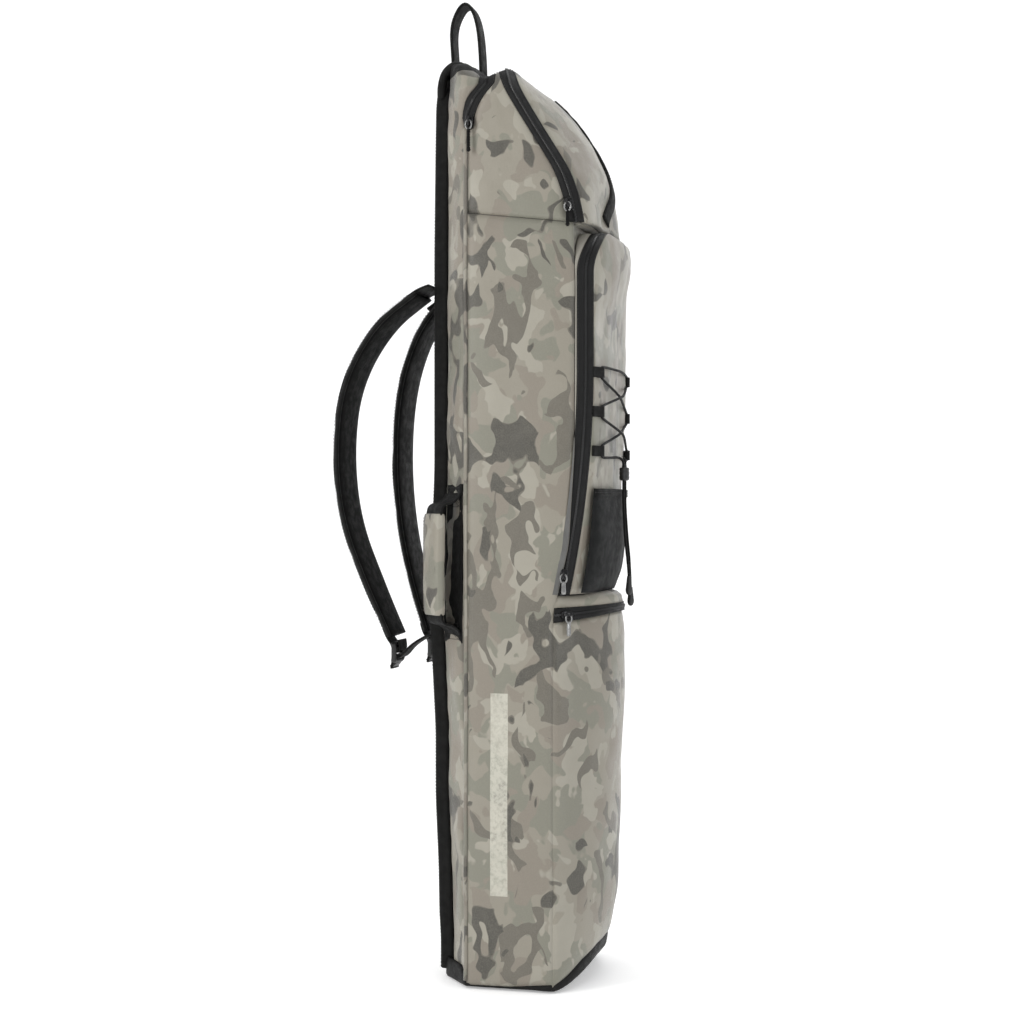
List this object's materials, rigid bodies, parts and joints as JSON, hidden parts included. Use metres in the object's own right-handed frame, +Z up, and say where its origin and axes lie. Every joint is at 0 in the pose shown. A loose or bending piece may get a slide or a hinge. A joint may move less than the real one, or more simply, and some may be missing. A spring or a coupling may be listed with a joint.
{
  "type": "padded stick bag",
  "caption": "Tall padded bag worn on the back, with a full-length opening back, a hood pocket, a laced upper pocket, a bowed lower pocket, shoulder straps and handles.",
  "frame": {"origin": "middle of the flat base, on the ground the bag stands on", "axes": "+Z up along the bag, -Y towards the pockets, +Y towards the shoulder straps"},
  "size_m": [0.2087, 0.3201, 1.0518],
  "materials": {
    "camo": "printed camouflage polyester with a satin face",
    "black_trim": "black woven nylon webbing and binding",
    "zip_tape": "black coil zip tape, water-resistant face",
    "base_cloth": "black coated base cloth",
    "lining": "dark grey lining cloth",
    "foam": "foam covered in cloth",
    "mesh": "pale grey spacer mesh",
    "gusset": "plain taupe gusset cloth",
    "stretch": "black stretch cloth",
    "cord": "black braided shock cord",
    "plastic": "black moulded acetal",
    "zip_metal": "dark nickel zip slider",
    "spring_steel": "steel spring"
  },
  "bodies": {
    "main_body": {"base_tub": "base_cloth", "side_panel_near": "camo", "side_panel_far": "camo", "divider_wall": "lining", "hood_divider": "lining", "hood_sides": "camo", "hood_zip_frame": "zip_tape", "main_zip_front": "zip_tape", "seam_hinge": "camo", "lower_pocket": "camo", "lower_zip_tape": "zip_tape", "pocket_roof": "camo", "pocket_gusset": "gusset", "pocket_zip_frame": "zip_tape"},
    "back_door": {"corner_strip_near": "camo", "corner_strip_far": "camo", "back_lining": "lining", "back_crown": "camo", "back_pad": "foam", "back_mesh": "mesh", "back_binding": "black_trim", "main_zip_back": "zip_tape", "top_cap": "black_trim", "loop_tabs": "black_trim", "handle_patches": "black_trim", "strap_anchor_top": "black_trim", "strap_anchor_low": "black_trim"},
    "hood_flap": {"hood_flap_panel": "camo", "hood_flap_zip": "zip_tape", "hood_front_tape": "black_trim"},
    "pocket_flap": {"pocket_flap_panel": "camo", "pocket_flap_zip": "zip_tape", "stretch_pocket": "stretch", "bungee_lace": "cord", "lace_loops": "black_trim"},
    "lace_tails": {"tail_near": "cord", "tail_far": "cord", "cord_end_near": "plastic", "cord_end_far": "plastic"},
    "cord_lock": {"cord_lock": "plastic", "lock_spring": "spring_steel"},
    "lock_button": {"lock_button": "plastic"},
    "main_slider": {"main_slider": "zip_metal"},
    "main_pull": {"main_pull": "zip_metal"},
    "hood_slider": {"hood_slider": "zip_metal"},
    "hood_pull": {"hood_pull": "zip_metal"},
    "pocket_slider": {"pocket_slider": "zip_metal"},
    "pocket_pull": {"pocket_pull": "zip_metal"},
    "lower_slider": {"lower_slider": "zip_metal"},
    "lower_pull": {"lower_pull": "zip_metal"},
    "strap_near": {"strap_near": "black_trim", "buckle_near": "plastic", "web_near": "black_trim"},
    "strap_far": {"strap_far": "black_trim", "buckle_far": "plastic", "web_far": "black_trim"},
    "side_handle": {"handle_sleeve": "camo", "handle_webbing": "black_trim"},
    "haul_loop": {"haul_loop": "black_trim"}
  },
  "joints": [
    {"name": "door_hinge", "type": "hinge", "parent": "main_body", "child": "back_door", "pos_m": [-0.095, 0.0484, 0.457], "axis": [0, 0, 1], "range_deg": [0, 100]},
    {"name": "hood_flap_hinge", "type": "hinge", "parent": "main_body", "child": "hood_flap", "pos_m": [0, -0.094, 0.808], "axis": [1, 0, 0], "range_deg": [0, 110]},
    {"name": "pocket_flap_hinge", "type": "hinge", "parent": "main_body", "child": "pocket_flap", "pos_m": [0, -0.085, 0.4124], "axis": [1, 0, 0], "range_deg": [0, 80]},
    {"name": "tail_swing", "type": "hinge", "parent": "pocket_flap", "child": "lace_tails", "pos_m": [0, -0.1038, 0.549], "axis": [-1, 0, 0], "range_deg": [0, 80]},
    {"name": "lock_slide", "type": "slide", "parent": "lace_tails", "child": "cord_lock", "axis": [0, 0, -1], "range_m": [0, 0.008]},
    {"name": "lock_press", "type": "slide", "parent": "cord_lock", "child": "lock_button", "axis": [0, 0, -1], "range_m": [0, 0.003], "stiffness_N_per_m": 500, "springref_m": -0.002, "deforming": ["lock_spring"]},
    {"name": "main_zip_track", "type": "hinge", "parent": "main_body", "child": "main_slider", "pos_m": [-0.095, -0.014, 0.901], "axis": [1, 0, 0], "range_deg": [0, 36]},
    {"name": "main_pull_swing", "type": "hinge", "parent": "main_slider", "child": "main_pull", "pos_m": [-0.1004, 0.04344, 0.90907], "axis": [0, 1, 0], "range_deg": [0, 150]},
    {"name": "hood_zip_track", "type": "hinge", "parent": "main_body", "child": "hood_slider", "pos_m": [-0.095, 0.4252, 0.6328], "axis": [-1, 0, 0], "range_deg": [0, 15]},
    {"name": "hood_pull_swing", "type": "hinge", "parent": "hood_slider", "child": "hood_pull", "pos_m": [-0.1004, -0.0628, 0.819], "axis": [0, 1, 0], "range_deg": [0, 150]},
    {"name": "pocket_zip_track", "type": "hinge", "parent": "main_body", "child": "pocket_slider", "pos_m": [-0.095, 1.02, 0.65], "axis": [-1, 0, 0], "range_deg": [0, 16]},
    {"name": "pocket_pull_swing", "type": "hinge", "parent": "pocket_slider", "child": "pocket_pull", "pos_m": [-0.1004, -0.05779, 0.434], "axis": [0, 1, 0], "range_deg": [0, 150]},
    {"name": "lower_zip_track", "type": "hinge", "parent": "main_body", "child": "lower_slider", "pos_m": [0, 0.00964, 0.3925], "axis": [0, 0, 1], "range_deg": [0, 104]},
    {"name": "lower_pull_swing", "type": "hinge", "parent": "lower_slider", "child": "lower_pull", "pos_m": [-0.09223, -0.06242, 0.3925], "axis": [-0.6157, 0.788, 0], "range_deg": [0, 150]},
    {"name": "strap_near_swing", "type": "hinge", "parent": "back_door", "child": "strap_near", "pos_m": [-0.045, 0.096, 0.55], "axis": [0, 0, 1], "range_deg": [-8, 20]},
    {"name": "strap_far_swing", "type": "hinge", "parent": "back_door", "child": "strap_far", "pos_m": [0.045, 0.096, 0.55], "axis": [0, 0, -1], "range_deg": [-8, 20]},
    {"name": "handle_swing", "type": "hinge", "parent": "back_door", "child": "side_handle", "pos_m": [-0.07778, 0.06503, 0.45], "axis": [0, 0, 1], "range_deg": [-18, 18]},
    {"name": "haul_loop_flex", "type": "hinge", "parent": "back_door", "child": "haul_loop", "pos_m": [0, 0.068, 0.985], "axis": [1, 0, 0], "range_deg": [-12, 12], "stiffness_Nm_per_rad": 0.08}
  ],
  "couplings": [
    {"joint": "tail_swing", "follows": "pocket_flap_hinge", "ratio": 1}
  ]
}
